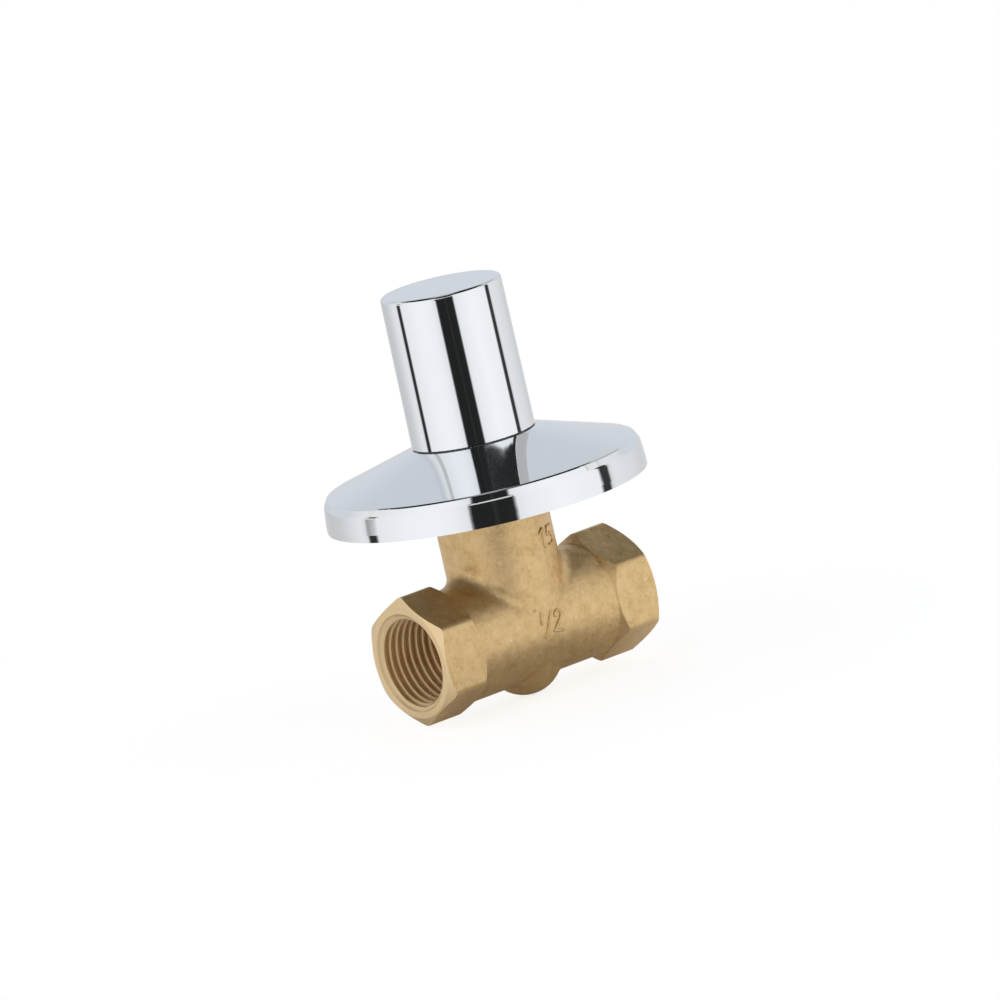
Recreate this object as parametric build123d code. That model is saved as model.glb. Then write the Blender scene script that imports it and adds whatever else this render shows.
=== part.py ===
from build123d import *
import os
from math import cos, pi, radians, sin, sqrt, tan

# Concealed stop valve for a 1/2 inch pipe. Millimetres. X runs along the pipe from inlet to outlet,
# Z runs up the spindle. The pieces are drawn about the crossing of the two axes and are written with
# the centre of the inlet's mouth at the origin.

# Fits between pieces
thread_clearance = 0.05
running_clearance = 0.06
guide_clearance = 0.1
face_gap = 0.3
lift_gap = 0.4

# Valve body: pipe run and hexagon ends
half_length = 29.4
run_radius = 12.35
hex_flats = 25.0
hex_length = 10.8
hex_corner_round = 1.9
hex_face_radius = 12.2
hex_face_angle = 30.0
hex_back_bevel = 1.7

# Valve body: neck and bottom boss
neck_radius = 12.25
neck_shoulder_z = 25.8
neck_top_z = 35.3
neck_thread_radius = 10.8
neck_chamfer = 0.5
neck_blend = 3.5
boss_radius = 8.4
boss_centre_z = -7.0
boss_blend = 2.0

# Valve body: ports and passages
port_radius = 10.478
port_depth = 15.0
port_chamfer = 0.35
passage_radius = 7.4
passage_end_x = 11.2
chamber_radius = 9.0
chamber_floor_z = 2.0
web_thickness = 2.9
sump_wall = 2.4
seat_hole_radius = 5.3
seat_lip_width = 1.2
seat_top_z = 3.5

# Headwork: stroke and washer
lift = 5.0
seat_gap = 0.05
washer_radius = 6.9
washer_thickness = 3.0
cup_wall = 0.9
cup_rim_height = 1.4
cup_height = 3.4
carrier_flats = 11.8
carrier_hex_length = 12.0
carrier_floor = 3.4
screw_radius = 1.65
screw_head_radius = 3.0
screw_head_height = 1.8
screw_tip_gap = 0.3
screw_slot_width = 0.8
screw_slot_depth = 0.9

# Headwork: spindle
spindle_thread_radius = 4.5
spindle_relief_radius = 3.9
spindle_relief_length = 1.3
collar_radius = 5.6
collar_height = 2.2
stem_radius = 4.5
groove_radius = 3.2
groove_width = 1.8
ring_section = 0.64
lower_groove_rise = 3.2
groove_pitch = 4.8
thrust_washer_thickness = 0.7
circlip_groove_radius = 3.7
circlip_radius = 6.0
circlip_thickness = 0.8
circlip_opening = 60.0
spline_teeth = 20
spline_tip_radius = 4.0
spline_root_radius = 3.6
spline_length = 9.5
spindle_hole_radius = 1.7
spindle_hole_depth = 12.5
spindle_chamfer = 0.5

# Headwork: bonnet
bonnet_tube_radius = 7.9
bonnet_thread_radius = 9.35
bonnet_thread_length = 10.5
bonnet_undercut_radius = 8.0
bonnet_undercut_height = 1.7
bonnet_ring_section = 0.68
bonnet_shoulder_radius = 10.3
bonnet_shoulder_height = 1.6
bonnet_spanner_flats = 17.0
bonnet_spanner_height = 5.0
bonnet_top_radius = 6.8
bonnet_top_height = 3.4
collar_bore_radius = 5.85

# Cover sleeve and the ring on it
sleeve_wall = 0.75
sleeve_rise = 2.0
guide_ring_height = 1.2
guide_ring_lip = 2.5
guide_ring_wall = 0.65

# Wall flange, its bush and ring
flange_back_z = 28.0
flange_height = 13.6
rim_radius = 34.7
rim_straight = 1.6
rim_shoulder_inset = 0.35
rim_shoulder_height = 5.3
rim_edge_inset = 0.85
rim_edge_height = 6.9
rim_shoulder_round = 1.2
rim_edge_round = 0.6
flange_wall = 1.0
collar_bore = 13.0
collar_bend = 0.35
collar_end_rise = 6.8
bush_clearance = 0.12
bush_lip_height = 0.8
bush_top_drop = 0.4
friction_ring_section = 0.4
friction_ring_rise = 3.4

# Handle shell, insert and screw
handle_gap = 0.2
handle_length = 32.8
handle_base_radius = 13.32
handle_taper = 0.24
handle_top_round = 0.8
handle_wall = 1.22
handle_top_wall = 2.0
insert_core_radius = 7.6
insert_gap = 0.6
insert_floor = 2.7
insert_pocket_radius = 4.6
insert_collar_height = 3.6
insert_rib_width = 1.6
insert_ribs = 6
grip_ring_section = 0.54
handle_screw_radius = 1.6
handle_screw_hole = 2.2
handle_screw_length = 12.0
handle_screw_head_radius = 3.5
handle_screw_head_height = 2.6
handle_screw_washer_radius = 4.2
handle_screw_washer_height = 0.8
cross_recess_width = 1.0
cross_recess_length = 3.6
cross_recess_depth = 1.3

# Heights on the spindle axis, valve closed and flange outermost, and the radii that follow
washer_bottom_z = seat_top_z + seat_gap
cup_face_z = washer_bottom_z + washer_thickness
cup_top_z = cup_face_z - cup_rim_height + cup_height
carrier_bore_z = cup_face_z + carrier_floor
carrier_top_z = cup_top_z + carrier_hex_length
spindle_bottom_z = carrier_bore_z + lift + lift_gap
bonnet_bottom_z = cup_top_z + lift + lift_gap
hex_bore_top_z = carrier_top_z + lift + lift_gap
collar_bottom_z = hex_bore_top_z + lift_gap
collar_top_z = collar_bottom_z + collar_height
thrust_face_z = collar_top_z + face_gap + thrust_washer_thickness
spanner_bottom_z = neck_top_z + bonnet_shoulder_height
spanner_top_z = spanner_bottom_z + bonnet_spanner_height
bonnet_top_z = spanner_top_z + bonnet_top_height
circlip_z = bonnet_top_z + face_gap
sleeve_top_z = bonnet_top_z + sleeve_rise
guide_ring_top_z = sleeve_top_z + guide_ring_height
insert_bottom_z = guide_ring_top_z + insert_gap
spindle_top_z = insert_bottom_z + spline_length
insert_floor_top_z = spindle_top_z + insert_floor
flange_top_z = flange_back_z + flange_height
rim_shoulder_radius = rim_radius - rim_shoulder_inset
rim_edge_radius = rim_shoulder_radius - rim_edge_inset
rim_shoulder_z = flange_back_z + rim_shoulder_height
rim_edge_z = flange_back_z + rim_edge_height
collar_end_z = flange_back_z + collar_end_rise
handle_base_z = flange_top_z + handle_gap
handle_top_radius = handle_base_radius - handle_taper
handle_bore = handle_base_radius - handle_wall
handle_top_z = handle_base_z + handle_length
insert_top_z = handle_top_z - handle_top_wall
lower_groove_z = thrust_face_z + lower_groove_rise
upper_groove_z = lower_groove_z + groove_pitch

# Radii that follow from the fits
neck_bore_radius = bonnet_thread_radius + thread_clearance
sleeve_bore = neck_thread_radius + thread_clearance
sleeve_radius = sleeve_bore + sleeve_wall
cup_bore = washer_radius + guide_clearance
cup_radius = cup_bore + cup_wall
carrier_bore = spindle_thread_radius + running_clearance
stem_bore = stem_radius + running_clearance
hex_bore_flats = carrier_flats + 2 * guide_clearance
bush_bore = sleeve_radius + bush_clearance
handle_fit_radius = handle_bore - running_clearance
hex_corner_radius = hex_flats / sqrt(3)

# Small parts of a turn or a cut that only reach past a face
overcut = 1.0


def turned(*corners):
    """Solid of revolution about the spindle axis from (radius, height) corners."""
    return revolve(make_face(Plane.XZ * Polyline(*corners, close=True)), Axis.Z)


def tube(inner, outer, bottom, top):
    """Plain ring about the spindle axis."""
    return turned((inner, bottom), (outer, bottom), (outer, top), (inner, top))


def rod(radius, bottom, top):
    """Plain cylinder on the spindle axis."""
    return Pos(0, 0, bottom) * extrude(Circle(radius), top - bottom)


def hex_rod(flats, bottom, top):
    """Hexagonal prism on the spindle axis."""
    return Pos(0, 0, bottom) * extrude(RegularPolygon(flats / 2, 6, major_radius=False), top - bottom)


def along_pipe(radius, start, end):
    """Cylinder on the pipe axis."""
    return Plane.YZ.offset(start) * extrude(Circle(radius), end - start)


def ring_seal(inner, section, height):
    """Round rubber ring about the spindle axis."""
    return Pos(0, 0, height) * Torus(inner + section, section)


def circles_at(part, radius, height):
    """Circular edges of one radius at one height on the spindle axis."""
    return part.edges().filter_by(GeomType.CIRCLE).filter_by(
        lambda edge: abs(edge.radius - radius) < 0.01 and abs(edge.center().Z - height) < 0.01
    )


def seam_between(part, radius, low, high):
    """Curved edges where an upright cylinder of that radius runs into the pipe, between two heights."""
    tiny = 0.1
    return part.edges().filter_by(
        lambda edge: edge.geom_type not in (GeomType.LINE, GeomType.CIRCLE)
        and low + tiny < edge.center().Z < high - tiny
        and edge.bounding_box().max.X < radius + tiny
        and edge.bounding_box().min.X > -radius - tiny
    )


def both_ends(piece):
    """A piece at the outlet and its mirror image at the inlet."""
    return piece + mirror(piece, Plane.YZ)


def hexagon_end():
    """Hexagon at the outlet, two corners up and down, bevelled at its face and at its back."""
    back = half_length - hex_length
    outline = Rot(0, 0, 30) * RegularPolygon(hex_flats / 2, 6, major_radius=False)
    outline = fillet(outline.vertices(), hex_corner_round)
    prism = Plane.YZ.offset(back) * extrude(outline, hex_length)
    bevel = (hex_corner_radius - hex_face_radius) * tan(radians(hex_face_angle))
    barrel = revolve(
        make_face(
            Plane.XZ
            * Polyline(
                (back, 0),
                (back, run_radius),
                (back + hex_back_bevel, hex_corner_radius),
                (half_length - bevel, hex_corner_radius),
                (half_length, hex_face_radius),
                (half_length, 0),
                close=True,
            )
        ),
        Axis.X,
    )
    return prism & barrel


def body_forging():
    """Outside of the body up to the neck's shoulder, with its blends."""
    run_end = half_length - hex_length
    run = along_pipe(run_radius, -run_end, run_end)
    neck = rod(neck_radius, 0, neck_shoulder_z)
    boss = Pos(0, 0, boss_centre_z) * Sphere(boss_radius)
    crossing = run + neck
    crossing = fillet(seam_between(crossing, neck_radius, 0, neck_shoulder_z), neck_blend)
    crossing = crossing + boss
    crossing = fillet(seam_between(crossing, boss_radius, boss_centre_z - boss_radius, 0), boss_blend)
    return crossing + both_ends(hexagon_end())


def port():
    """Threaded bore at the outlet, drawn at the thread's major radius, with its lead-in."""
    start = half_length - port_depth
    bore = along_pipe(port_radius, start, half_length + overcut)
    lead_in = Plane.YZ.offset(half_length - port_chamfer) * extrude(
        Circle(port_radius), port_chamfer + overcut, taper=-45
    )
    return bore + lead_in


def passages():
    """Inlet passage below the seat's web and outlet passage above it."""
    start = half_length - port_depth + overcut
    web_bottom = chamber_floor_z - web_thickness
    low = 2 * passage_radius
    lower_side = Plane.XZ * Polyline(
        (-start, -low),
        (-start, low),
        (-passage_end_x, low),
        (-passage_end_x, web_bottom),
        (seat_hole_radius, web_bottom),
        (seat_hole_radius, -low),
        close=True,
    )
    upper_side = Plane.XZ * Polyline(
        (start, -low),
        (start, low),
        (0, low),
        (0, chamber_floor_z),
        (passage_end_x, chamber_floor_z),
        (passage_end_x, -low),
        close=True,
    )
    channel = along_pipe(passage_radius, -start, start)
    lower = channel & extrude(make_face(lower_side), low, both=True)
    upper = channel & extrude(make_face(upper_side), low, both=True)
    return lower, upper


def valve_body():
    neck_thread = rod(neck_thread_radius, neck_shoulder_z, neck_top_z)
    neck_thread = chamfer(circles_at(neck_thread, neck_thread_radius, neck_top_z), neck_chamfer)
    body = body_forging() + neck_thread
    lower, upper = passages()
    seat_lip_radius = seat_hole_radius + seat_lip_width
    web_bottom = chamber_floor_z - web_thickness
    body = body - both_ends(port()) - lower - upper
    body = body - rod(chamber_radius, chamber_floor_z, neck_top_z - bonnet_thread_length)
    body = body - rod(neck_bore_radius, neck_top_z - bonnet_thread_length, neck_top_z + overcut)
    body = body + rod(seat_lip_radius, chamber_floor_z - web_thickness / 2, seat_top_z)
    body = body - rod(seat_hole_radius, web_bottom - overcut, seat_top_z + overcut)
    return body - Pos(0, 0, boss_centre_z) * Sphere(boss_radius - sump_wall)


def headwork_bonnet():
    """Brass body of the headwork: hexagon bore below, spanner hexagon outside, plain bore above."""
    thread_top_z = neck_top_z - bonnet_undercut_height
    thread_bottom_z = neck_top_z - bonnet_thread_length + 2 * face_gap
    step = bonnet_thread_radius - bonnet_tube_radius
    shank = turned(
        (0, bonnet_bottom_z),
        (bonnet_tube_radius, bonnet_bottom_z),
        (bonnet_tube_radius, thread_bottom_z - step),
        (bonnet_thread_radius, thread_bottom_z),
        (bonnet_thread_radius, thread_top_z),
        (bonnet_undercut_radius, thread_top_z),
        (bonnet_undercut_radius, neck_top_z),
        (bonnet_shoulder_radius, neck_top_z),
        (bonnet_shoulder_radius, spanner_bottom_z),
        (bonnet_top_radius, spanner_bottom_z),
        (bonnet_top_radius, bonnet_top_z - spindle_chamfer),
        (bonnet_top_radius - spindle_chamfer, bonnet_top_z),
        (0, bonnet_top_z),
    )
    corner = bonnet_spanner_flats / sqrt(3)
    face = bonnet_spanner_flats / 2
    bevel = (corner - face) * tan(radians(hex_face_angle))
    bevelled = turned(
        (0, spanner_bottom_z),
        (corner, spanner_bottom_z),
        (corner, spanner_top_z - bevel),
        (face, spanner_top_z),
        (0, spanner_top_z),
    )
    spanner = hex_rod(bonnet_spanner_flats, spanner_bottom_z, spanner_top_z) & bevelled
    bonnet = shank + spanner
    bonnet = bonnet - hex_rod(hex_bore_flats, bonnet_bottom_z - overcut, hex_bore_top_z)
    bonnet = bonnet - rod(collar_bore_radius, hex_bore_top_z - overcut, thrust_face_z)
    return bonnet - rod(stem_bore, thrust_face_z - overcut, bonnet_top_z + overcut)


def bonnet_seal_ring():
    height = neck_top_z - bonnet_undercut_height / 2
    return ring_seal(bonnet_undercut_radius + 0.01, bonnet_ring_section, height)


def spline(tip, root, bottom, top):
    """Straight splines on the spindle axis, each tooth a wedge from the root circle to the tip."""
    pitch = 2 * pi / spline_teeth
    shaft = rod(root, bottom, top)
    base = 0.62 * pitch / 2
    crest = 0.30 * pitch / 2
    inner = root - 0.1
    outline = Polyline(
        (inner * cos(base), -inner * sin(base)),
        (tip * cos(crest), -tip * sin(crest)),
        (tip * cos(crest), tip * sin(crest)),
        (inner * cos(base), inner * sin(base)),
        close=True,
    )
    tooth = Pos(0, 0, bottom) * extrude(make_face(outline), top - bottom)
    return shaft + [Rot(0, 0, 360 * turn / spline_teeth) * tooth for turn in range(spline_teeth)]


def groove(radius, outside, bottom, width):
    """Ring-shaped cutter for a groove round the spindle axis."""
    return tube(radius, outside + overcut, bottom, bottom + width)


def spindle():
    """Spindle that turns without rising: thread, thrust collar, ring grooves, clip groove, splines."""
    relief_z = collar_bottom_z - spindle_relief_length
    spline_bottom_z = spindle_top_z - spline_length
    shaft = turned(
        (0, spindle_bottom_z),
        (spindle_thread_radius - spindle_chamfer, spindle_bottom_z),
        (spindle_thread_radius, spindle_bottom_z + spindle_chamfer),
        (spindle_thread_radius, relief_z),
        (spindle_relief_radius, relief_z),
        (spindle_relief_radius, collar_bottom_z),
        (collar_radius, collar_bottom_z),
        (collar_radius, collar_top_z),
        (stem_radius, collar_top_z),
        (stem_radius, spline_bottom_z - spindle_chamfer),
        (spline_root_radius, spline_bottom_z),
        (0, spline_bottom_z),
    )
    spline_foot_z = spline_bottom_z - overcut / 2
    shaft = shaft + spline(spline_tip_radius, spline_root_radius, spline_foot_z, spindle_top_z)
    for height in (lower_groove_z, upper_groove_z):
        shaft = shaft - groove(groove_radius, stem_radius, height, groove_width)
    play = circlip_thickness / 16
    shaft = shaft - groove(
        circlip_groove_radius, stem_radius, circlip_z - play, circlip_thickness + 2 * play
    )
    return shaft - rod(spindle_hole_radius, spindle_top_z - spindle_hole_depth, spindle_top_z + overcut)


def spindle_ring(groove_bottom):
    return ring_seal(groove_radius + 0.01, ring_section, groove_bottom + groove_width / 2)


def thrust_washer():
    inner = stem_radius + guide_clearance
    outer = collar_bore_radius - guide_clearance
    return tube(inner, outer, thrust_face_z - thrust_washer_thickness, thrust_face_z)


def spindle_circlip():
    """Open spring clip with its two ends square to the gap."""
    clip = tube(circlip_groove_radius + 0.02, circlip_radius, circlip_z, circlip_z + circlip_thickness)
    reach = 2 * circlip_radius
    half = radians(circlip_opening / 2)
    gap = make_face(
        Polyline((0, 0), (reach * cos(half), reach * sin(half)), (reach * cos(half), -reach * sin(half)),
                 close=True)
    )
    return clip - Pos(0, 0, circlip_z - overcut) * extrude(gap, circlip_thickness + 2 * overcut)


def washer_carrier():
    """Hexagonal nut that slides in the bonnet, with a cup for the washer at its foot."""
    cup_rim_z = cup_face_z - cup_rim_height
    carrier = rod(cup_radius, cup_rim_z, cup_top_z) + hex_rod(carrier_flats, cup_top_z, carrier_top_z)
    carrier = carrier - rod(cup_bore, cup_rim_z - overcut, cup_face_z)
    carrier = carrier - rod(carrier_bore, carrier_bore_z, carrier_top_z + overcut)
    return carrier - rod(screw_radius + thread_clearance, cup_face_z - overcut, carrier_bore_z + overcut)


def seat_washer():
    return tube(screw_radius + guide_clearance, washer_radius, washer_bottom_z, cup_face_z)


def washer_screw():
    """Cheese-head screw under the washer, with its slot."""
    head_z = washer_bottom_z - screw_head_height
    screw = rod(screw_head_radius, head_z, washer_bottom_z)
    screw = screw + rod(screw_radius, washer_bottom_z, carrier_bore_z - screw_tip_gap)
    slot = Pos(0, 0, head_z) * Box(3 * screw_head_radius, screw_slot_width, 2 * screw_slot_depth)
    return screw - slot


def cover_sleeve():
    """Chromed tube screwed on the neck, closed round the headwork up into the handle's skirt."""
    sleeve = tube(sleeve_bore, sleeve_radius, neck_shoulder_z, sleeve_top_z)
    return chamfer(circles_at(sleeve, sleeve_radius, sleeve_top_z), sleeve_wall / 3)


def skirt_guide_ring():
    """Plastic ring clipped on the sleeve's end, on which the handle's skirt runs."""
    lip_outer = sleeve_bore - thread_clearance
    lip_inner = lip_outer - guide_ring_wall
    outer = handle_bore - guide_clearance
    return turned(
        (lip_inner, sleeve_top_z - guide_ring_lip),
        (lip_outer, sleeve_top_z - guide_ring_lip),
        (lip_outer, sleeve_top_z),
        (outer, sleeve_top_z),
        (outer, guide_ring_top_z),
        (lip_inner, guide_ring_top_z),
    )


def flange_inside(inset):
    """Inner ends of the cone's wall: its line moved inward by the inset, below the edge and the collar."""
    slope = (flange_top_z - rim_edge_z) / (rim_edge_radius - collar_bore)
    drop = inset * sqrt(1 + slope**2)
    edge_r = rim_edge_radius - inset
    edge_z = rim_edge_z + slope * inset - drop
    collar_r = collar_bore + inset
    collar_z = flange_top_z - slope * inset - drop
    return edge_r, edge_z, collar_r, collar_z


def wall_flange():
    """Pressed flange: nearly upright rim, bevelled edge, shallow cone, collar turned down at its centre."""
    edge_r, edge_z, collar_r, collar_z = flange_inside(flange_wall)
    flange = turned(
        (rim_radius, flange_back_z),
        (rim_radius, flange_back_z + rim_straight),
        (rim_shoulder_radius, rim_shoulder_z),
        (rim_edge_radius, rim_edge_z),
        (collar_bore, flange_top_z),
        (collar_bore, collar_end_z),
        (collar_r, collar_end_z),
        (collar_r, collar_z),
        (edge_r, edge_z),
        (rim_radius - flange_wall, flange_back_z + rim_straight),
        (rim_radius - flange_wall, flange_back_z),
    )
    flange = fillet(circles_at(flange, rim_shoulder_radius, rim_shoulder_z), rim_shoulder_round)
    flange = fillet(circles_at(flange, rim_edge_radius, rim_edge_z), rim_edge_round)
    return fillet(circles_at(flange, collar_bore, flange_top_z), collar_bend)


def friction_ring_z():
    return collar_end_z + friction_ring_rise


def flange_bush():
    """Plastic bush inside the collar with a lip under the collar's end and a groove for its ring."""
    outer = collar_bore - 0.02
    lip_radius = collar_bore + flange_wall
    bush = turned(
        (bush_bore, collar_end_z - bush_lip_height),
        (lip_radius, collar_end_z - bush_lip_height),
        (lip_radius, collar_end_z),
        (outer, collar_end_z),
        (outer, flange_top_z - bush_top_drop - collar_bend),
        (bush_bore, flange_top_z - bush_top_drop - collar_bend),
    )
    groove_outer = sleeve_radius + thread_clearance + 2 * friction_ring_section + 0.02
    half_width = friction_ring_section * 1.2
    ring_groove = tube(
        sleeve_radius, groove_outer, friction_ring_z() - half_width, friction_ring_z() + half_width
    )
    return bush - ring_groove


def flange_friction_ring():
    return ring_seal(sleeve_radius + thread_clearance, friction_ring_section, friction_ring_z())


def handle_shell():
    """Chromed cup with a slight taper, rounded at its top edge."""
    shell = turned(
        (handle_bore, handle_base_z),
        (handle_base_radius, handle_base_z),
        (handle_top_radius, handle_top_z),
        (0, handle_top_z),
        (0, insert_top_z),
        (handle_bore, insert_top_z),
    )
    return fillet(circles_at(shell, handle_top_radius, handle_top_z), handle_top_round)


def handle_insert():
    """Moulded insert: splined hub, ribs and two collars that fill the shell, pocket for the screw."""
    groove_inner = handle_bore - 2 * grip_ring_section - 0.02
    lower_collar_z = insert_bottom_z + insert_rib_width
    upper_collar_z = insert_top_z - insert_collar_height - insert_rib_width
    insert = rod(insert_core_radius, insert_bottom_z, insert_top_z)
    for height in (lower_collar_z, upper_collar_z):
        insert = insert + rod(handle_fit_radius, height, height + insert_collar_height)
    rib_height = upper_collar_z - lower_collar_z
    outward = (Align.MIN, Align.CENTER, Align.MIN)
    rib = Box(handle_fit_radius - face_gap, insert_rib_width, rib_height, align=outward)
    rib = Pos(0, 0, lower_collar_z) * rib
    insert = insert + [Rot(0, 0, 360 * turn / insert_ribs) * rib for turn in range(insert_ribs)]
    ring_groove = groove(
        groove_inner,
        handle_fit_radius,
        upper_collar_z + insert_collar_height / 2 - 1.2 * grip_ring_section,
        2.4 * grip_ring_section,
    )
    insert = insert - ring_groove
    insert = insert - spline(
        spline_tip_radius + thread_clearance,
        spline_root_radius + thread_clearance,
        insert_bottom_z - overcut,
        spindle_top_z,
    )
    insert = insert - rod(handle_screw_hole, spindle_top_z - overcut, insert_floor_top_z + overcut)
    return insert - rod(insert_pocket_radius, insert_floor_top_z, insert_top_z + overcut)


def shell_grip_ring():
    height = insert_top_z - insert_collar_height / 2 - insert_rib_width
    return ring_seal(handle_bore - 2 * grip_ring_section - 0.01, grip_ring_section, height)


def handle_screw_washer():
    return tube(
        handle_screw_radius + guide_clearance,
        handle_screw_washer_radius,
        insert_floor_top_z,
        insert_floor_top_z + handle_screw_washer_height,
    )


def handle_screw():
    """Round-head screw with a cross recess, down through the insert into the spindle."""
    seat_z = insert_floor_top_z + handle_screw_washer_height
    head_top_z = seat_z + handle_screw_head_height
    head = rod(handle_screw_head_radius, seat_z, head_top_z)
    head = fillet(circles_at(head, handle_screw_head_radius, head_top_z), handle_screw_head_height / 2)
    screw = head + rod(handle_screw_radius, seat_z - handle_screw_length, seat_z)
    bar = Box(cross_recess_length, cross_recess_width, 2 * cross_recess_depth)
    cross = Pos(0, 0, head_top_z) * (bar + Rot(0, 0, 90) * bar)
    return screw - cross


def save(name, piece):
    """Writes one piece with the inlet's mouth at the origin."""
    export_step(Pos(half_length, 0, 0) * piece, "parts/" + name + ".step")


os.makedirs("parts", exist_ok=True)
save("valve_body", valve_body())
save("headwork_bonnet", headwork_bonnet())
save("bonnet_seal_ring", bonnet_seal_ring())
save("spindle", spindle())
save("spindle_ring_lower", spindle_ring(lower_groove_z))
save("spindle_ring_upper", spindle_ring(upper_groove_z))
save("thrust_washer", thrust_washer())
save("spindle_circlip", spindle_circlip())
save("washer_carrier", washer_carrier())
save("seat_washer", seat_washer())
save("washer_screw", washer_screw())
save("cover_sleeve", cover_sleeve())
save("skirt_guide_ring", skirt_guide_ring())
save("wall_flange", wall_flange())
save("flange_bush", flange_bush())
save("flange_friction_ring", flange_friction_ring())
save("handle_shell", handle_shell())
save("handle_insert", handle_insert())
save("handle_screw", handle_screw())
save("handle_screw_washer", handle_screw_washer())
save("shell_grip_ring", shell_grip_ring())
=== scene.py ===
from math import cos, hypot, pi, radians, sin

import bmesh
import bpy
from mathutils import Matrix, Vector


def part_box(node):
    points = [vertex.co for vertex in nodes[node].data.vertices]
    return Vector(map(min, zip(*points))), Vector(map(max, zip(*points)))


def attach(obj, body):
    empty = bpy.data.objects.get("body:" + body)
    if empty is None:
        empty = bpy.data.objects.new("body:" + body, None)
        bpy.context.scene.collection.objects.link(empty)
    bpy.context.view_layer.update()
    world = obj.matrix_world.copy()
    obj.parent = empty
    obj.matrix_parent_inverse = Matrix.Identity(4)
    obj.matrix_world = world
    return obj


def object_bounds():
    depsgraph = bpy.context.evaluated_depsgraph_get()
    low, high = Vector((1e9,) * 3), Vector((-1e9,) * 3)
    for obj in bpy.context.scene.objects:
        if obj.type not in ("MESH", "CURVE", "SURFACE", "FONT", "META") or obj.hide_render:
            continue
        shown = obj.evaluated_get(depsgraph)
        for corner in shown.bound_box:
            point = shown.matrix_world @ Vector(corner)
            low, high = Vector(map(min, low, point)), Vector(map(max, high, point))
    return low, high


MM = 0.001
WHITE = (1.0, 1.0, 1.0)

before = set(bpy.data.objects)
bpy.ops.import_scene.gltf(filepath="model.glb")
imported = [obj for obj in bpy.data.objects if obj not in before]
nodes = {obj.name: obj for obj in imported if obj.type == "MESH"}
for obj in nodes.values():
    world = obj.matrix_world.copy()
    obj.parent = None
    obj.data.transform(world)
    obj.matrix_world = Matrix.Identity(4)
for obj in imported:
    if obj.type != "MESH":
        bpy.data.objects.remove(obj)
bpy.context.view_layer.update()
scene = bpy.context.scene

# The valve's axes cross at the middle of the body
body_low, body_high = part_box("valve_body")
crossing = Vector(((body_low.x + body_high.x) / 2, 0, 0))
half_length = body_high.x - crossing.x

# Camera, as fitted to the photograph: angles, metres and a focal length in pixels of a 1000 pixel frame
CAMERA_AZIMUTH = radians(53.374)
CAMERA_ELEVATION = radians(10.215)
CAMERA_ROLL = radians(-12.625)
CAMERA_DISTANCE = 2987.444 * MM
CAMERA_OFFSET = (3.338 * MM, -26.318 * MM)
CAMERA_CLIP = (0.01, 20.0)
FOCAL_PIXELS = 14065.57
FRAME_PIXELS = 1000.0
SENSOR_WIDTH = 36.0


def place_camera():
    """Sets the camera and gives the level directions towards it and to its right."""
    toward = Vector((
        -cos(CAMERA_AZIMUTH) * cos(CAMERA_ELEVATION),
        -sin(CAMERA_AZIMUTH) * cos(CAMERA_ELEVATION),
        sin(CAMERA_ELEVATION),
    ))
    level_right = (-toward).cross(Vector((0, 0, 1))).normalized()
    level_up = level_right.cross(-toward)
    right = cos(CAMERA_ROLL) * level_right + sin(CAMERA_ROLL) * level_up
    up = -sin(CAMERA_ROLL) * level_right + cos(CAMERA_ROLL) * level_up
    lens = bpy.data.cameras.new("camera")
    lens.sensor_width = SENSOR_WIDTH
    lens.lens = FOCAL_PIXELS * SENSOR_WIDTH / FRAME_PIXELS
    lens.clip_start, lens.clip_end = CAMERA_CLIP
    camera = bpy.data.objects.new("camera", lens)
    scene.collection.objects.link(camera)
    spot = crossing + toward * CAMERA_DISTANCE - right * CAMERA_OFFSET[0] - up * CAMERA_OFFSET[1]
    turn = Matrix((right, up, toward)).transposed().to_4x4()
    camera.matrix_world = Matrix.Translation(spot) @ turn
    scene.camera = camera
    return Vector((toward.x, toward.y, 0)).normalized(), level_right


front, sideways = place_camera()


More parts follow.
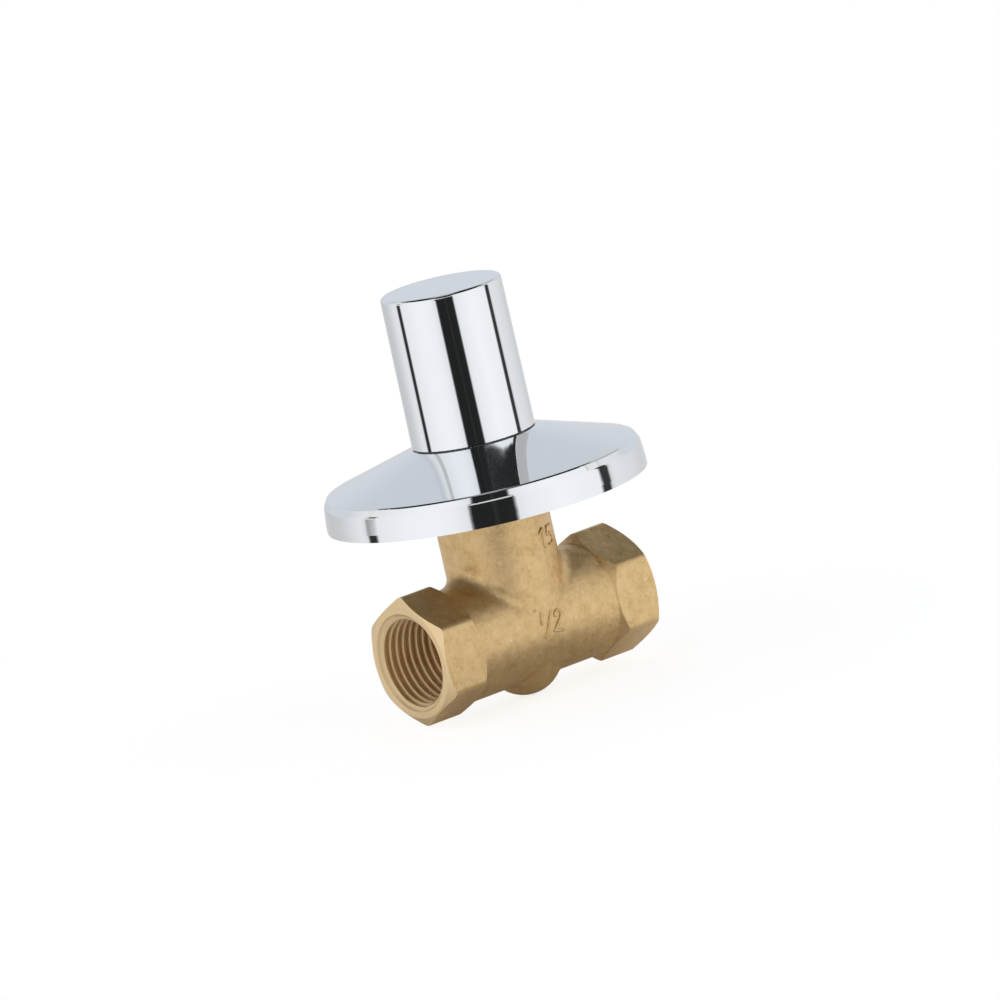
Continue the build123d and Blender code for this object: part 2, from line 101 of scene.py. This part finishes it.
class Tree:
    """Short names for the nodes that the materials and the world are made of."""

    def __init__(self, tree):
        self.tree = tree
        tree.nodes.clear()

    def new(self, kind, **settings):
        made = self.tree.nodes.new(kind)
        for name, value in settings.items():
            setattr(made, name, value)
        return made

    def feed(self, socket, value):
        if isinstance(value, bpy.types.NodeSocket):
            self.tree.links.new(value, socket)
        elif value is not None:
            socket.default_value = value

    def math(self, operation, *values):
        made = self.new("ShaderNodeMath", operation=operation)
        for socket, value in zip(made.inputs, values):
            self.feed(socket, value)
        return made.outputs[0]

    def vector(self, operation, *values):
        made = self.new("ShaderNodeVectorMath", operation=operation)
        for socket, value in zip(made.inputs, values):
            self.feed(socket, value)
        return made

    def dot(self, vector, direction):
        return self.vector("DOT_PRODUCT", vector, tuple(direction)).outputs["Value"]

    def scaled(self, vector, factor):
        made = self.vector("SCALE", vector)
        self.feed(made.inputs["Scale"], factor)
        return made.outputs["Vector"]

    def split(self, vector):
        made = self.new("ShaderNodeSeparateXYZ")
        self.feed(made.inputs[0], vector)
        return made.outputs

    def joined(self, x, y, z):
        made = self.new("ShaderNodeCombineXYZ")
        for socket, value in zip(made.inputs, (x, y, z)):
            self.feed(socket, value)
        return made.outputs[0]

    def distance(self, first, second):
        """Length of the diagonal of two sides at right angles."""
        squares = [self.math("MULTIPLY", side, side) for side in (first, second)]
        return self.math("SQRT", self.math("ADD", *squares))

    def step(self, value, low, high):
        """Rises smoothly from 0 at low to 1 at high."""
        made = self.new("ShaderNodeMapRange", interpolation_type="SMOOTHSTEP")
        for name, amount in (("Value", value), ("From Min", low), ("From Max", high)):
            self.feed(made.inputs[name], amount)
        return made.outputs[0]

    def band(self, value, low, high, soft=1.0):
        """1 between low and high, 0 outside."""
        into = self.step(value, low - soft, low + soft)
        out_of = self.step(value, high + soft, high - soft)
        return self.math("MULTIPLY", into, out_of)

    def span(self, value, low, high):
        """Maps 0..1 to low..high."""
        made = self.new("ShaderNodeMapRange")
        for name, amount in (("Value", value), ("To Min", low), ("To Max", high)):
            self.feed(made.inputs[name], amount)
        return made.outputs[0]

    def ramp(self, value, stops):
        made = self.new("ShaderNodeValToRGB")
        self.feed(made.inputs[0], value)
        elements = made.color_ramp.elements
        while len(elements) < len(stops):
            elements.new(0.5)
        for element, (position, colour) in zip(elements, stops):
            element.position = position
            element.color = (*colour, 1)
        return made.outputs["Color"]

    def mix(self, factor, first, second):
        made = self.new("ShaderNodeMix", data_type="RGBA")
        self.feed(made.inputs["Factor"], factor)
        self.feed(made.inputs[6], (*first, 1) if isinstance(first, tuple) else first)
        self.feed(made.inputs[7], (*second, 1) if isinstance(second, tuple) else second)
        return made.outputs[2]

    def noise(self, vector, scale, detail=3.0, roughness=0.5):
        made = self.new("ShaderNodeTexNoise")
        amounts = {"Vector": vector, "Scale": scale, "Detail": detail, "Roughness": roughness}
        for name, amount in amounts.items():
            self.feed(made.inputs[name], amount)
        return made.outputs["Fac"]

    def cells(self, vector, scale):
        made = self.new("ShaderNodeTexVoronoi")
        self.feed(made.inputs["Vector"], vector)
        self.feed(made.inputs["Scale"], scale)
        return made.outputs["Distance"], made.outputs["Color"]

    def bump(self, height, depth, normal=None):
        made = self.new("ShaderNodeBump")
        made.inputs["Strength"].default_value = 1.0
        made.inputs["Distance"].default_value = depth * MM
        self.feed(made.inputs["Height"], height)
        self.feed(made.inputs["Normal"], normal)
        return made.outputs["Normal"]

    def place(self):
        """Position on the piece in millimetres."""
        return self.scaled(self.new("ShaderNodeTexCoord").outputs["Object"], 1 / MM)


def material(name):
    made = bpy.data.materials.new(name)
    made.use_nodes = True
    tree = Tree(made.node_tree)
    shader = tree.new("ShaderNodeBsdfPrincipled")
    output = tree.new("ShaderNodeOutputMaterial")
    tree.feed(output.inputs["Surface"], shader.outputs[0])
    return made, tree, shader


def finish_of(tree, shader, colour, metallic, roughness, normal):
    tree.feed(shader.inputs["Base Color"], colour)
    tree.feed(shader.inputs["Metallic"], metallic)
    tree.feed(shader.inputs["Roughness"], roughness)
    tree.feed(shader.inputs["Normal"], normal)


# Studio: light panels at the sides with a dark gap between them at the camera, a dark slit behind each
# panel, a pale backdrop behind and a dark ceiling with a soft light straight above. Angles are in degrees
FULL_TURN = 360.0
TO_DEGREES = 180.0 / pi
# Level by azimuth from the camera, right positive
SIDE_LEVELS = (
    (-180, 0.70), (-150, 0.60), (-130, 0.66), (-106, 0.86), (-99.5, 0.80), (-97.5, 0.03), (-90.5, 0.03),
    (-88.5, 0.88), (-60, 0.97), (-40, 0.98), (-26, 0.94), (-17, 0.86), (-15.3, 0.78), (-13.7, 0.018),
    (1.5, 0.018), (3.5, 0.032), (6, 0.018), (17.6, 0.02), (19.4, 0.86), (28, 0.93), (52, 1.0), (75, 0.96),
    (87.5, 0.94), (89.5, 0.04), (97.0, 0.04), (99.0, 0.76), (104, 0.84), (130, 0.77), (150, 0.68),
    (180, 0.72),
)
# Elevation where the panels and the backdrop end, by azimuth
TOP_ANGLES = (
    (-180, 47), (-125, 47), (-112, 50), (-14, 50), (17, 46.2), (25, 45.8), (43, 45.2), (62, 44.6), (70, 43.7),
    (76, 43.0), (84, 41.4), (97, 40.5), (100, 50), (112, 50), (125, 47), (180, 47),
)
TOP_UNIT = 90.0
TOP_SOFTNESS = 0.5
PANEL_TINT = (0.965, 0.985, 1.0)
PANEL_FOOT = (-55.0, -45.0)
BACKDROP_SIDES = (118.0, 128.0)
BACKDROP_FOOT = (-4.0, 8.0)
BACKDROP_BLEND = (14.0, 34.0)
BACKDROP_LOW = (0.665, 0.70, 0.75)
BACKDROP_HIGH = (0.61, 0.65, 0.695)
CEILING_COLOUR = (0.022, 0.022, 0.024)
ZENITH_COLOUR = (0.32, 0.33, 0.345)
ZENITH_RISE = (70.0, 86.0)
GROUND_COLOUR = (0.36, 0.36, 0.36)
# Small lights: azimuth range, elevation range, level. The last two are one light across the turn behind
SMALL_LIGHTS = (
    ((-13.7, 17.6), (17.0, 31.0), 0.70),
    ((-99.5, -88.5), (-3.0, 12.0), 0.76),
    ((-99.5, -88.5), (22.0, 34.0), 0.84),
    ((-99.5, -88.5), (34.0, 50.0), 0.58),
    ((88.5, 98.5), (22.0, 33.0), 0.84),
    ((100.0, 158.0), (30.0, 47.0), 0.50),
    ((166.0, 200.0), (53.0, 73.0), 0.80),
    ((-200.0, -166.0), (53.0, 73.0), 0.80),
)


def round_the_turn(tree, around, rows):
    """Colour by azimuth, from rows of an azimuth and a colour."""
    return tree.ramp(around, [((turn + FULL_TURN / 2) / FULL_TURN, colour) for turn, colour in rows])


def light_world():
    world = bpy.data.worlds.new("studio")
    scene.world = world
    world.use_nodes = True
    tree = Tree(world.node_tree)
    ray = tree.new("ShaderNodeTexCoord").outputs["Generated"]
    angle = tree.math("ARCTAN2", tree.dot(ray, sideways), tree.dot(ray, front))
    around = tree.math("MULTIPLY_ADD", angle, 0.5 / pi, 0.5)
    azimuth = tree.math("MULTIPLY", angle, TO_DEGREES)
    height = tree.math("MULTIPLY", tree.math("ARCSINE", tree.split(ray)["Z"]), TO_DEGREES)

    levels = [(turn, tuple(level * part for part in PANEL_TINT)) for turn, level in SIDE_LEVELS]
    walls = round_the_turn(tree, around, levels)
    backdrop = tree.mix(tree.step(height, *BACKDROP_BLEND), BACKDROP_LOW, BACKDROP_HIGH)
    backdrop = tree.mix(tree.step(height, *BACKDROP_FOOT), walls, backdrop)
    behind = tree.step(tree.math("ABSOLUTE", azimuth), *BACKDROP_SIDES)
    walls = tree.mix(behind, walls, backdrop)

    tops = [(turn, (top / TOP_UNIT,) * 3) for turn, top in TOP_ANGLES]
    over = tree.math("MULTIPLY_ADD", round_the_turn(tree, around, tops), -TOP_UNIT, height)
    ceiling = tree.mix(tree.step(height, *ZENITH_RISE), CEILING_COLOUR, ZENITH_COLOUR)
    light = tree.mix(tree.step(over, -TOP_SOFTNESS, TOP_SOFTNESS), walls, ceiling)
    for wide, high, level in SMALL_LIGHTS:
        lit = tree.math("MULTIPLY", tree.band(azimuth, *wide), tree.band(height, *high))
        light = tree.mix(lit, light, (level, level, level))
    light = tree.mix(tree.step(height, *PANEL_FOOT), GROUND_COLOUR, light)

    seen = tree.new("ShaderNodeLightPath").outputs["Is Camera Ray"]
    shader = tree.new("ShaderNodeBackground")
    tree.feed(shader.inputs["Color"], tree.mix(seen, light, WHITE))
    output = tree.new("ShaderNodeOutputWorld")
    tree.feed(output.inputs["Surface"], shader.outputs[0])
    scene.view_settings.view_transform = "Standard"


# Floor: radius and gap in metres; its glow as glossy rays see it, which paints shade near the valve by
# distance in millimetres and paints light on the right side; and its glow as the camera sees it
FLOOR_RADIUS = 0.21
FLOOR_GAP = 0.1 * MM
FLOOR_SEGMENTS = 96
FLOOR_DARK = (0.50, 0.50, 0.50)
FLOOR_LIGHT = (0.53, 0.53, 0.53)
FLOOR_GRAIN_PER_MM = 0.8
FLOOR_PAINTED_SHADE_RADII = (16.0, 60.0)
FLOOR_PAINTED_MIRROR_GLOW = (0.12, 0.74)
FLOOR_PAINTED_SIDE_LIGHT = (0.12, 0.86)
FLOOR_GLOW_DIRECT = 0.79


def floor_paper():
    """Pale paper that glows: to the camera up to white; to mirrors with painted shade near the valve and
    painted light on its right side.
    """
    made = bpy.data.materials.new("floor_paper")
    made.use_nodes = True
    tree = Tree(made.node_tree)
    grain = tree.noise(tree.place(), FLOOR_GRAIN_PER_MM)
    paper = tree.new("ShaderNodeBsdfDiffuse")
    tree.feed(paper.inputs["Color"], tree.mix(grain, FLOOR_DARK, FLOOR_LIGHT))
    place = tree.vector("SUBTRACT", tree.place(), tuple(crossing / MM)).outputs["Vector"]
    level_place = tree.vector("MULTIPLY", place, (1.0, 1.0, 0.0)).outputs["Vector"]
    out = tree.vector("LENGTH", level_place).outputs["Value"]
    to_right = tree.math("DIVIDE", tree.dot(place, sideways), tree.math("MAXIMUM", out, 1.0))
    # painted shade and light: mirrors see the floor darker near the valve and lighter on its right side
    painted_mirror_glow = tree.span(tree.step(out, *FLOOR_PAINTED_SHADE_RADII), *FLOOR_PAINTED_MIRROR_GLOW)
    painted_mirror_glow = tree.math("MULTIPLY", painted_mirror_glow, tree.math("MULTIPLY_ADD", to_right, *FLOOR_PAINTED_SIDE_LIGHT))
    rays = tree.new("ShaderNodeLightPath").outputs
    painted_mirror_glow = tree.math("MULTIPLY", rays["Is Glossy Ray"], painted_mirror_glow)
    glow = tree.new("ShaderNodeEmission")
    strength = tree.math("MULTIPLY_ADD", rays["Is Camera Ray"], FLOOR_GLOW_DIRECT, painted_mirror_glow)
    tree.feed(glow.inputs["Strength"], strength)
    both = tree.new("ShaderNodeAddShader")
    tree.feed(both.inputs[0], paper.outputs[0])
    tree.feed(both.inputs[1], glow.outputs[0])
    output = tree.new("ShaderNodeOutputMaterial")
    tree.feed(output.inputs["Surface"], both.outputs[0])
    return made


def lay_floor():
    """Round table top just under the valve."""
    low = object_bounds()[0].z - FLOOR_GAP
    mesh = bpy.data.meshes.new("floor")
    shape = bmesh.new()
    bmesh.ops.create_circle(shape, cap_ends=True, segments=FLOOR_SEGMENTS, radius=FLOOR_RADIUS)
    bmesh.ops.translate(shape, verts=shape.verts, vec=(crossing.x, crossing.y, low))
    shape.to_mesh(mesh)
    shape.free()
    floor = bpy.data.objects.new("floor", mesh)
    scene.collection.objects.link(floor)
    mesh.materials.append(floor_paper())


# Colours of the metals
CHROME_DARK = (0.885, 0.900, 0.925)
CHROME_LIGHT = (0.915, 0.925, 0.940)
# colour of chrome where it faces down
CHROME_FACING_DOWN = (0.36, 0.36, 0.37)
FORGED_DARK = (0.66, 0.445, 0.20)
FORGED_MID = (0.80, 0.56, 0.275)
FORGED_LIGHT = (0.88, 0.635, 0.335)
FORGED_SPECK = (0.94, 0.79, 0.53)
MACHINED_DARK = (0.83, 0.60, 0.33)
MACHINED_LIGHT = (0.94, 0.72, 0.42)
# painted shade: a darker colour for the roots of the port threads
ROOT_PAINTED_SHADE = (0.80, 0.57, 0.28)

# Patterns of the surfaces: features per millimetre, octaves and the weight of the finer ones
CHROME_HAZE = (0.35, 4.0, 0.6)
CHROME_WAVES = (0.12, 1.0)
FORGED_LUMPS = (0.16, 2.0)
FORGED_DENTS = (0.50, 2.0)
FORGED_GRAIN = (1.7, 4.0, 0.65)
STEEL_CLOUDS = (0.9, 4.0)
STEEL_SCRATCHES = (6.0, 2.0)
MOULDED_CLOUDS = (0.5, 3.0)
MOULDED_SKIN = (5.0, 2.0)
RINGS = (1.0, 2.0)
FORGING_RINGS_PER_MM = 7.0
SPINDLE_RINGS_PER_MM = 6.0

# Depths of the bumps in millimetres
CHROME_DEPTH = 0.004
LUMP_DEPTH = 0.05
DENT_DEPTH = 0.10
GRAIN_DEPTH = 0.036
RING_DEPTH = 0.003
STEEL_DEPTH = 0.004

# Roughness of the metals, from the low to the high end of their patterns, and where chrome turns dull
CHROME_ROUGHNESS = (0.02, 0.06)
FACING_DOWN_ROUGHNESS = 0.35
FACING_DOWN_RANGE = (-0.25, -0.6)
FORGED_ROUGHNESS = (0.38, 0.50)
FACE_ROUGHNESS = (0.28, 0.38)
PORT_ROUGHNESS = 0.45
PORT_METALLIC = 0.7
SPINDLE_ROUGHNESS = (0.22, 0.36)

# Mottle of the forging: share of each pattern in it, colours by its level, and the specks in cells on it
LUMP_SHARE = 0.25
DENT_SHARE = 0.35
GRAIN_SHARE = 0.40
FORGED_STOPS = ((0.36, FORGED_DARK), (0.49, FORGED_MID), (0.62, FORGED_LIGHT))
SPECK_CELLS_PER_MM = 0.55
SPECK_CHANCE = (0.86, 0.90)
SPECK_EDGE = (0.28, 0.06)
SPECK_STRENGTH = 0.60

# Where the forging is turned, in millimetres: the end faces with their bevel, the ports and the neck's end.
# Each pair is the soft border from one finish to the other
HEX_FACE_RADIUS = 12.2
HEX_FACE_SLOPE = 0.577
FACE_BORDER = (0.10, 0.03)
PORT_WALL_BORDER = (10.92, 10.86)
PORT_END_BORDER = (15.4, 15.2)
NECK_END_BORDER = (25.75, 25.85)
# The root borders mark where the painted shade of the thread's roots starts, by radius and by depth from the
# mouth
ROOT_BORDER = (9.55, 10.35)
ROOT_START_BORDER = (0.9, 1.8)


def chrome():
    """Polished chrome plate: a faint unevenness in its gloss and surface, darker and duller where it faces
    down.
    """
    made, tree, shader = material("chrome_plate")
    place = tree.place()
    haze = tree.noise(place, *CHROME_HAZE)
    waves = tree.bump(tree.noise(place, *CHROME_WAVES), CHROME_DEPTH)
    facing = tree.split(tree.new("ShaderNodeTexCoord").outputs["Normal"])["Z"]
    dull = tree.step(facing, *FACING_DOWN_RANGE)
    colour = tree.mix(dull, tree.mix(haze, CHROME_DARK, CHROME_LIGHT), CHROME_FACING_DOWN)
    roughness = tree.span(dull, tree.span(haze, *CHROME_ROUGHNESS), FACING_DOWN_ROUGHNESS)
    finish_of(tree, shader, colour, 1.0, roughness, waves)
    return made


def turned_places(tree, place):
    """Distance from the pipe axis, where it is turned, in a port, and the thread's roots, which get painted
    shade.
    """
    along, across, up = tree.split(place)
    out = tree.distance(across, up)
    from_middle = tree.math("ABSOLUTE", tree.math("SUBTRACT", along, crossing.x / MM))
    depth = tree.math("SUBTRACT", half_length / MM, from_middle)
    bevel = tree.math("MAXIMUM", tree.math("SUBTRACT", out, HEX_FACE_RADIUS), 0.0)
    under_face = tree.math("MULTIPLY_ADD", bevel, -HEX_FACE_SLOPE, depth)
    end_face = tree.step(under_face, *FACE_BORDER)
    in_port = tree.math("MULTIPLY", tree.step(out, *PORT_WALL_BORDER), tree.step(depth, *PORT_END_BORDER))
    turned = tree.math("MAXIMUM", end_face, in_port)
    turned = tree.math("MAXIMUM", turned, tree.step(up, *NECK_END_BORDER))
    past_mouth = tree.math("MULTIPLY", in_port, tree.step(depth, *ROOT_START_BORDER))
    root = tree.math("MULTIPLY", tree.step(out, *ROOT_BORDER), past_mouth)
    return out, turned, in_port, root


def forging_colour(tree, place, lumps, dents, grain):
    """Colour of the blasted skin: mottled, with a few bright specks."""
    mottle = tree.math("MULTIPLY_ADD", dents, DENT_SHARE, tree.math("MULTIPLY", lumps, LUMP_SHARE))
    mottle = tree.math("MULTIPLY_ADD", grain, GRAIN_SHARE, mottle)
    skin = tree.ramp(mottle, FORGED_STOPS)
    distance, chance = tree.cells(place, SPECK_CELLS_PER_MM)
    chosen = tree.step(tree.split(chance)["X"], *SPECK_CHANCE)
    speck = tree.math("MULTIPLY", tree.step(distance, *SPECK_EDGE), chosen)
    return tree.mix(tree.math("MULTIPLY", speck, SPECK_STRENGTH), skin, FORGED_SPECK)


def forged_brass():
    """Blasted forging skin, with fine rings where it is turned and painted shade at the thread's roots."""
    made, tree, shader = material("brass_forging")
    place = tree.place()
    out, turned, in_port, root = turned_places(tree, place)
    lumps = tree.noise(place, *FORGED_LUMPS)
    dents = tree.noise(place, *FORGED_DENTS)
    grain = tree.noise(place, *FORGED_GRAIN)
    rings = tree.noise(tree.joined(tree.math("MULTIPLY", out, FORGING_RINGS_PER_MM), 0.0, 0.0), *RINGS)
    # the thread's roots get the darker colour as painted shade in the grooves
    bright = tree.mix(root, tree.mix(rings, MACHINED_DARK, MACHINED_LIGHT), ROOT_PAINTED_SHADE)
    colour = tree.mix(turned, forging_colour(tree, place, lumps, dents, grain), bright)
    gloss = tree.span(in_port, tree.span(rings, *FACE_ROUGHNESS), PORT_ROUGHNESS)
    roughness = tree.span(turned, tree.span(grain, *FORGED_ROUGHNESS), gloss)
    skin = tree.bump(dents, DENT_DEPTH, tree.bump(lumps, LUMP_DEPTH))
    skin = tree.bump(grain, GRAIN_DEPTH, skin)
    normal = tree.mix(turned, skin, tree.bump(rings, RING_DEPTH))
    finish_of(tree, shader, colour, tree.span(in_port, 1.0, PORT_METALLIC), roughness, normal)
    return made


def turned_brass():
    """Lathe-turned brass: fine rings about the spindle."""
    made, tree, shader = material("brass_turned")
    along, across, up = tree.split(tree.place())
    out = tree.distance(tree.math("SUBTRACT", along, crossing.x / MM), across)
    profile = [tree.math("MULTIPLY", side, SPINDLE_RINGS_PER_MM) for side in (out, up)]
    rings = tree.noise(tree.joined(profile[0], 0.0, profile[1]), *RINGS)
    colour = tree.mix(rings, MACHINED_DARK, MACHINED_LIGHT)
    finish_of(tree, shader, colour, 1.0, tree.span(rings, *SPINDLE_ROUGHNESS), tree.bump(rings, RING_DEPTH))
    return made


def bright_steel(name, dark, light, low, high):
    """Plain steel, clouded between two colours and two roughnesses."""
    made, tree, shader = material(name)
    place = tree.place()
    clouds = tree.noise(place, *STEEL_CLOUDS)
    scratches = tree.bump(tree.noise(place, *STEEL_SCRATCHES), STEEL_DEPTH)
    finish_of(tree, shader, tree.mix(clouds, dark, light), 1.0, tree.span(clouds, low, high), scratches)
    return made


def moulded(name, dark, light, low, high, depth):
    """Moulded plastic or rubber between two colours and two roughnesses, with a fine skin of that depth."""
    made, tree, shader = material(name)
    place = tree.place()
    colour = tree.mix(tree.noise(place, *MOULDED_CLOUDS), dark, light)
    skin = tree.noise(place, *MOULDED_SKIN)
    finish_of(tree, shader, colour, 0.0, tree.span(skin, low, high), tree.bump(skin, depth))
    return made


light_world()
lay_floor()
finishes = {
    "chrome": chrome(),
    "forged_brass": forged_brass(),
    "turned_brass": turned_brass(),
    "seal_rubber": moulded("rubber_black", (0.012, 0.012, 0.012), (0.030, 0.029, 0.028), 0.45, 0.62, 0.010),
    "white_plastic": moulded("plastic_white", (0.70, 0.70, 0.68), (0.80, 0.80, 0.78), 0.32, 0.45, 0.004),
    "grey_plastic": moulded("plastic_grey", (0.16, 0.165, 0.17), (0.21, 0.215, 0.22), 0.35, 0.50, 0.006),
    "spring_steel": bright_steel("steel_spring", (0.20, 0.20, 0.21), (0.32, 0.32, 0.33), 0.28, 0.42),
    "zinc_steel": bright_steel("steel_zinc", (0.62, 0.64, 0.66), (0.75, 0.76, 0.77), 0.20, 0.34),
}
for node in nodes.values():
    for slot in node.material_slots:
        slot.material = finishes[slot.material.name]


def smooth_mesh(name, shape, turn):
    """Smooth mesh in the valve's frame, from a shape drawn in millimetres about the crossing."""
    bmesh.ops.recalc_face_normals(shape, faces=shape.faces)
    for face in shape.faces:
        face.smooth = True
    shape.transform(Matrix.Translation(crossing) @ Matrix.Rotation(turn, 4, "Z") @ Matrix.Scale(MM, 4))
    mesh = bpy.data.meshes.new(name)
    shape.to_mesh(mesh)
    shape.free()
    return mesh


def new_piece(name, mesh, body, slot):
    """Object that moves with a body of the valve and has the finish of a material slot."""
    piece = bpy.data.objects.new(name, mesh)
    scene.collection.objects.link(piece)
    mesh.materials.append(finishes[slot])
    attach(piece, body)


# Pipe thread of both ports in millimetres: pitch, radii at root, crest and back, depths from the mouth of its
# start, its end and its first crest, the slopes of its flanks and lead-in, and how sharp the crests are
THREAD_PITCH = 1.814
THREAD_ROOT = 10.44
THREAD_CREST = 9.316
THREAD_BACK = 10.53
THREAD_MOUTH = 0.36
THREAD_END = 14.9
THREAD_START = 0.793
THREAD_FLANK = 1.921
THREAD_LEAD_IN = 4.0
THREAD_SHARPNESS = 5
THREAD_STEPS = 14
THREAD_SECTORS = 180
THREAD_TURNS_BEFORE = 2
THREAD_TURNS_AFTER = 1
WELD_DISTANCE = 1e-4


def thread_radius(depth, phase):
    """Radius of the thread at a depth from the mouth, with its flanks rounded at crest and root."""
    off = abs((phase + 0.5) % 1.0 - 0.5) * THREAD_PITCH
    flank = (off - THREAD_PITCH / 4) * THREAD_FLANK
    half_height = (THREAD_ROOT - THREAD_CREST) / 2
    rounded = flank / (1 + abs(flank / half_height) ** THREAD_SHARPNESS) ** (1 / THREAD_SHARPNESS)
    radius = (THREAD_ROOT + THREAD_CREST) / 2 + rounded
    lead_in = THREAD_ROOT - (depth - THREAD_MOUTH) * THREAD_LEAD_IN
    run_out = THREAD_ROOT - (THREAD_END - depth) * THREAD_LEAD_IN
    return max(radius, lead_in, run_out)


def port_thread(name, turn):
    """Threaded wall of one port as a closed ring; its rows follow the helix, so the crests stay smooth."""
    shape = bmesh.new()
    turns = THREAD_TURNS_BEFORE + THREAD_TURNS_AFTER
    rows = int((THREAD_END - THREAD_MOUTH) / THREAD_PITCH * THREAD_STEPS) + turns * THREAD_STEPS
    columns = []
    for sector in range(THREAD_SECTORS + 1):
        angle = 2 * pi * sector / THREAD_SECTORS
        column = [(THREAD_MOUTH, THREAD_BACK)]
        for row in range(rows):
            phase = row / THREAD_STEPS - THREAD_TURNS_BEFORE
            depth = THREAD_START + THREAD_PITCH * (phase + sector / THREAD_SECTORS)
            held = min(max(depth, THREAD_MOUTH), THREAD_END)
            radius = thread_radius(held, (held - THREAD_START) / THREAD_PITCH - sector / THREAD_SECTORS)
            column.append((held, radius))
        column.append((THREAD_END, THREAD_BACK))
        columns.append([
            shape.verts.new((depth - half_length / MM, radius * cos(angle), radius * sin(angle)))
            for depth, radius in column
        ])
    for left, right in zip(columns, columns[1:]):
        for low in range(len(left)):
            high = (low + 1) % len(left)
            shape.faces.new((left[low], left[high], right[high], right[low]))
    bmesh.ops.remove_doubles(shape, verts=shape.verts, dist=WELD_DISTANCE)
    new_piece(name, smooth_mesh(name, shape, turn), "valve", "forged_brass")


port_thread("inlet_thread", 0.0)
port_thread("outlet_thread", pi)

# Size marks raised on the forging, in millimetres: strokes of the inch size on the run, as distance along
# the pipe from the middle and distance round it, and of the metric size on the neck, as distance round it
# and height
RUN_RADIUS = 12.35
NECK_RADIUS = 12.25
INCH_STROKES = (
    ((-3.2, 3.9), (-2.3, 4.3), (-1.5, 4.9), (-2.4, 0.9)),
    ((2.75, 7.0), (-2.0, -2.3)),
    ((1.5, 1.6), (1.7, 2.3), (2.4, 2.65), (3.1, 2.3), (3.1, 1.5), (2.2, 0.3), (0.5, -1.5), (2.9, -1.9)),
)
METRIC_STROKES = (
    ((60.1, 19.4), (61.1, 20.3), (61.0, 16.4)),
    ((65.0, 20.2), (63.0, 20.2), (62.8, 18.5), (63.9, 18.6), (64.8, 17.9), (64.8, 17.0), (64.0, 16.3),
     (62.8, 16.4)),
)
MARK_RADIUS = 0.34
MARK_STEP = 0.25
MARK_SIDES = 8
# Rings of a stroke's rounded end, as place along the stroke and width in shares of the bead's radius
MARK_START = ((-0.95, 0.3), (-0.7, 0.71), (0.0, 1.0))
MARK_MIDDLE = ((0.0, 1.0),)
MARK_FINISH = ((0.0, 1.0), (0.7, 0.71), (0.95, 0.3))


def on_run(along, around):
    """Point on the run and the direction out of it."""
    angle = around / RUN_RADIUS
    out = Vector((0, -cos(angle), sin(angle)))
    return Vector((along, 0, 0)) + RUN_RADIUS * out, out


def on_neck(around, up):
    """Point on the neck and the direction out of it."""
    angle = around / NECK_RADIUS
    out = Vector((cos(angle), sin(angle), 0))
    return Vector((0, 0, up)) + NECK_RADIUS * out, out


def stroke_spots(stroke):
    """The stroke's corners with close steps between them."""
    spots = [stroke[0]]
    for (a, b), (c, d) in zip(stroke, stroke[1:]):
        parts = max(1, round(hypot(c - a, d - b) / MARK_STEP))
        spots += [(a + (c - a) * part / parts, b + (d - b) * part / parts) for part in range(1, parts + 1)]
    return spots


def stroke_rings(centres):
    """Rings of points round a bead that runs through the centres."""
    last = len(centres) - 1
    for index, (centre, out) in enumerate(centres):
        ahead = (centres[min(index + 1, last)][0] - centres[max(index - 1, 0)][0]).normalized()
        across = ahead.cross(out).normalized()
        steps = {0: MARK_START, last: MARK_FINISH}.get(index, MARK_MIDDLE)
        for shift, width in steps:
            middle = centre + MARK_RADIUS * shift * ahead
            turns = [2 * pi * side / MARK_SIDES for side in range(MARK_SIDES)]
            yield [middle + MARK_RADIUS * width * (cos(turn) * out + sin(turn) * across) for turn in turns]


def raised_mark(name, strokes, surface):
    """Strokes as half-sunk round beads that follow the curved surface."""
    shape = bmesh.new()
    for stroke in strokes:
        centres = [surface(*spot) for spot in stroke_spots(stroke)]
        rings = [[shape.verts.new(point) for point in ring] for ring in stroke_rings(centres)]
        for first, second in zip(rings, rings[1:]):
            for side in range(MARK_SIDES):
                other = (side + 1) % MARK_SIDES
                shape.faces.new((first[side], first[other], second[other], second[side]))
        shape.faces.new(rings[0])
        shape.faces.new(rings[-1])
    new_piece(name, smooth_mesh(name, shape, 0.0), "valve", "forged_brass")


raised_mark("size_mark_run", INCH_STROKES, on_run)
raised_mark("size_mark_neck", METRIC_STROKES, on_neck)
